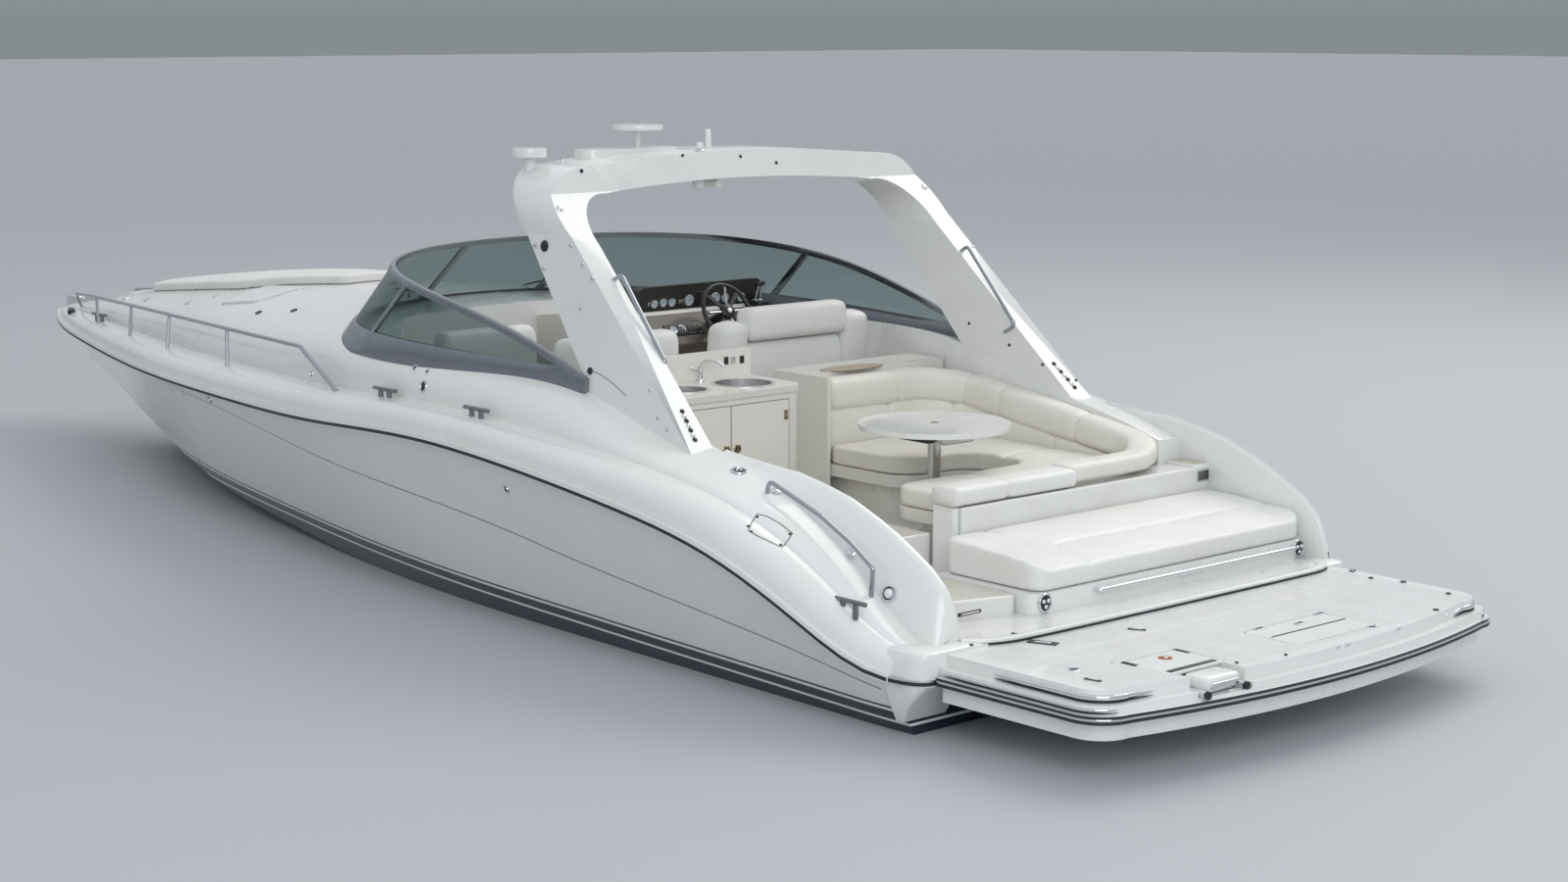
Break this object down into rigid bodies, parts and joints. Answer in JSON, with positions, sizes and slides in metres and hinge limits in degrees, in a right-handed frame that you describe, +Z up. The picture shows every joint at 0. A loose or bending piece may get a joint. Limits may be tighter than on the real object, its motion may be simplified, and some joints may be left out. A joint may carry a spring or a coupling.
{
  "type": "speedboat",
  "caption": "Express speedboat afloat with open cockpit, raked arch, curved windscreen, swim platform and two steered stern drives.",
  "frame": {"origin": "on the waterline and the centreline, at the foot of the transom's aft face", "axes": "+X forward to the bow, +Y to port, +Z up"},
  "size_m": [13.3098, 3.917, 3.751],
  "materials": {
    "gelcoat": "glossy white gelcoat",
    "hull_gelcoat": "glossy white gelcoat with navy bottom and boot stripes",
    "rub_rail": "dark rub rail with a bright insert",
    "steel": "polished stainless steel",
    "glass": "tinted safety glass",
    "frame": "dark anodised aluminium",
    "vinyl": "stitched ivory marine vinyl",
    "pad": "white marine vinyl",
    "liner": "ivory moulded liner",
    "black": "satin black moulding",
    "counter": "cast solid-surface counter",
    "drive": "black enamel",
    "engine": null
  },
  "bodies": {
    "boat": {"hull": "hull_gelcoat", "deck": "gelcoat", "rub_rail": "rub_rail", "engines": "engine", "swim_platform": "gelcoat", "platform_rails": "steel", "swim_ladder": "steel", "arch": "gelcoat", "arch_rails": "steel", "arch_fittings": "gelcoat", "windscreen_frame": "frame", "windscreen_glass": "glass", "bow_rails": "steel", "cleats": "steel", "bow_roller": "steel", "foredeck_pad": "pad", "dash_console": "liner", "instrument_pod": "black", "steering_column": "black", "helm_seat_base": "liner", "helm_seat_cushions": "vinyl", "companion_seat_base": "liner", "companion_cushions": "vinyl", "wet_bar": "counter", "sink": "steel", "settee_base": "liner", "settee_seat": "vinyl", "settee_back": "vinyl", "aft_backrest": "vinyl", "table": "counter", "seat_box": "liner", "walkway_steps": "gelcoat", "aft_console": "liner", "coaming_rails": "steel", "port_transom_shield": "drive", "starboard_transom_shield": "drive"},
    "steering_wheel": {"steering_wheel": "black"},
    "foredeck_hatch": {"foredeck_hatch": "gelcoat"},
    "anchor_locker_lid": {"anchor_locker_lid": "gelcoat"},
    "platform_hatch": {"platform_hatch": "gelcoat"},
    "ladder_lid": {"ladder_lid": "gelcoat"},
    "engine_hatch": {"engine_hatch": "gelcoat", "sunpad_cushion": "vinyl", "sunpad_rail": "steel"},
    "bar_door_port": {"bar_door_port": "liner"},
    "bar_door_starboard": {"bar_door_starboard": "liner"},
    "cabin_door": {"cabin_door": "black"},
    "port_gimbal": {"port_gimbal": "drive"},
    "port_drive": {"port_drive": "drive"},
    "port_propeller": {"port_propeller": "steel"},
    "starboard_gimbal": {"starboard_gimbal": "drive"},
    "starboard_drive": {"starboard_drive": "drive"},
    "starboard_propeller": {"starboard_propeller": "steel"},
    "port_trim_tab": {"port_trim_tab": "steel"},
    "starboard_trim_tab": {"starboard_trim_tab": "steel"}
  },
  "joints": [
    {"name": "steering_wheel_turn", "type": "hinge", "parent": "boat", "child": "steering_wheel", "pos_m": [4.25, -0.9, 1.49], "axis": [-0.8829, 0, 0.4695], "range_deg": [-450, 450]},
    {"name": "foredeck_hatch_hinge", "type": "hinge", "parent": "boat", "child": "foredeck_hatch", "pos_m": [7.328, 0.62, 1.508], "axis": [0, -1, 0], "range_deg": [0, 75]},
    {"name": "anchor_locker_hinge", "type": "hinge", "parent": "boat", "child": "anchor_locker_lid", "pos_m": [10.548, 0, 1.201], "axis": [0, -1, 0], "range_deg": [0, 90]},
    {"name": "platform_hatch_hinge", "type": "hinge", "parent": "boat", "child": "platform_hatch", "pos_m": [-0.833, -0.22, 0.43], "axis": [0, 1, 0], "range_deg": [0, 90]},
    {"name": "ladder_lid_hinge", "type": "hinge", "parent": "boat", "child": "ladder_lid", "pos_m": [-0.838, 0.79, 0.43], "axis": [0, 1, 0], "range_deg": [0, 100]},
    {"name": "engine_hatch_hinge", "type": "hinge", "parent": "boat", "child": "engine_hatch", "pos_m": [0.727, -0.44, 0.745], "axis": [0, 1, 0], "range_deg": [0, 50]},
    {"name": "bar_door_port_hinge", "type": "hinge", "parent": "boat", "child": "bar_door_port", "pos_m": [2.11, 1.285, 0.93], "axis": [0, 0, -1], "range_deg": [0, 85]},
    {"name": "bar_door_starboard_hinge", "type": "hinge", "parent": "boat", "child": "bar_door_starboard", "pos_m": [2.11, 0.447, 0.93], "axis": [0, 0, 1], "range_deg": [0, 85]},
    {"name": "cabin_door_hinge", "type": "hinge", "parent": "boat", "child": "cabin_door", "pos_m": [5.122, 0.64, 0.93], "axis": [0, 0, -1], "range_deg": [0, 100]},
    {"name": "port_steer", "type": "hinge", "parent": "boat", "child": "port_gimbal", "pos_m": [-0.13, 0.45, -0.06], "axis": [0, 0, 1], "range_deg": [-25, 25]},
    {"name": "port_tilt", "type": "hinge", "parent": "port_gimbal", "child": "port_drive", "pos_m": [-0.23, 0.45, -0.06], "axis": [0, 1, 0], "range_deg": [-4, 20]},
    {"name": "port_propeller_spin", "type": "hinge", "parent": "port_drive", "child": "port_propeller", "pos_m": [-0.6855, 0.45, -0.76], "axis": [1, 0, 0], "continuous": true},
    {"name": "port_trim_tab_hinge", "type": "hinge", "parent": "boat", "child": "port_trim_tab", "pos_m": [-0.0073, 1.02, -0.22024], "axis": [0, -0.9407, -0.3392], "range_deg": [0, 20]},
    {"name": "starboard_steer", "type": "hinge", "parent": "boat", "child": "starboard_gimbal", "pos_m": [-0.13, -0.45, -0.06], "axis": [0, 0, 1], "range_deg": [-25, 25]},
    {"name": "starboard_tilt", "type": "hinge", "parent": "starboard_gimbal", "child": "starboard_drive", "pos_m": [-0.23, -0.45, -0.06], "axis": [0, 1, 0], "range_deg": [-4, 20]},
    {"name": "starboard_propeller_spin", "type": "hinge", "parent": "starboard_drive", "child": "starboard_propeller", "pos_m": [-0.6855, -0.45, -0.76], "axis": [1, 0, 0], "continuous": true},
    {"name": "starboard_trim_tab_hinge", "type": "hinge", "parent": "boat", "child": "starboard_trim_tab", "pos_m": [-0.0073, -1.02, -0.22024], "axis": [0, -0.9407, 0.3392], "range_deg": [0, 20]}
  ],
  "couplings": [
    {"joint": "starboard_steer", "follows": "port_steer", "ratio": 1},
    {"joint": "steering_wheel_turn", "follows": "port_steer", "ratio": -18}
  ]
}
